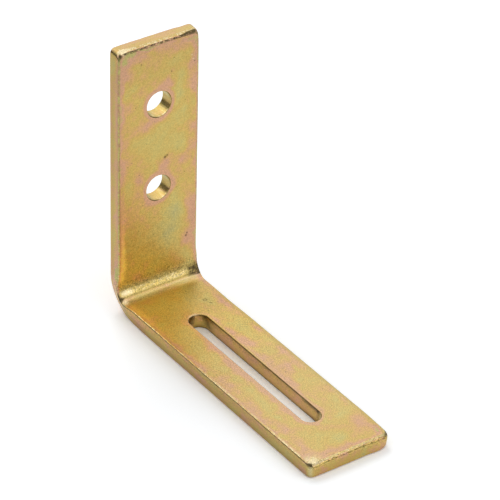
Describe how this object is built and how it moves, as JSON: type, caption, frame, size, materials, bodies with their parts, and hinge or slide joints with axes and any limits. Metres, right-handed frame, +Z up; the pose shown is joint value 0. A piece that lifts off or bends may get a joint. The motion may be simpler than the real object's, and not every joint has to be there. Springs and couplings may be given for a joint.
{
  "type": "angle bracket",
  "caption": "Folded flat-bar angle bracket with round bolt holes in the upright leg and a long adjustment slot in the foot.",
  "frame": {"origin": "middle of the bracket's floor area, on the underside of the foot", "axes": "+Z up along the upright leg, +Y out of the upright's back face, X across the bar's width"},
  "size_m": [0.031, 0.109, 0.0954],
  "materials": {
    "yellow_zinc_steel": "satin yellow-passivated zinc plating over steel, faintly iridescent"
  },
  "bodies": {
    "root": {"angle_bracket": "yellow_zinc_steel"}
  },
  "joints": []
}
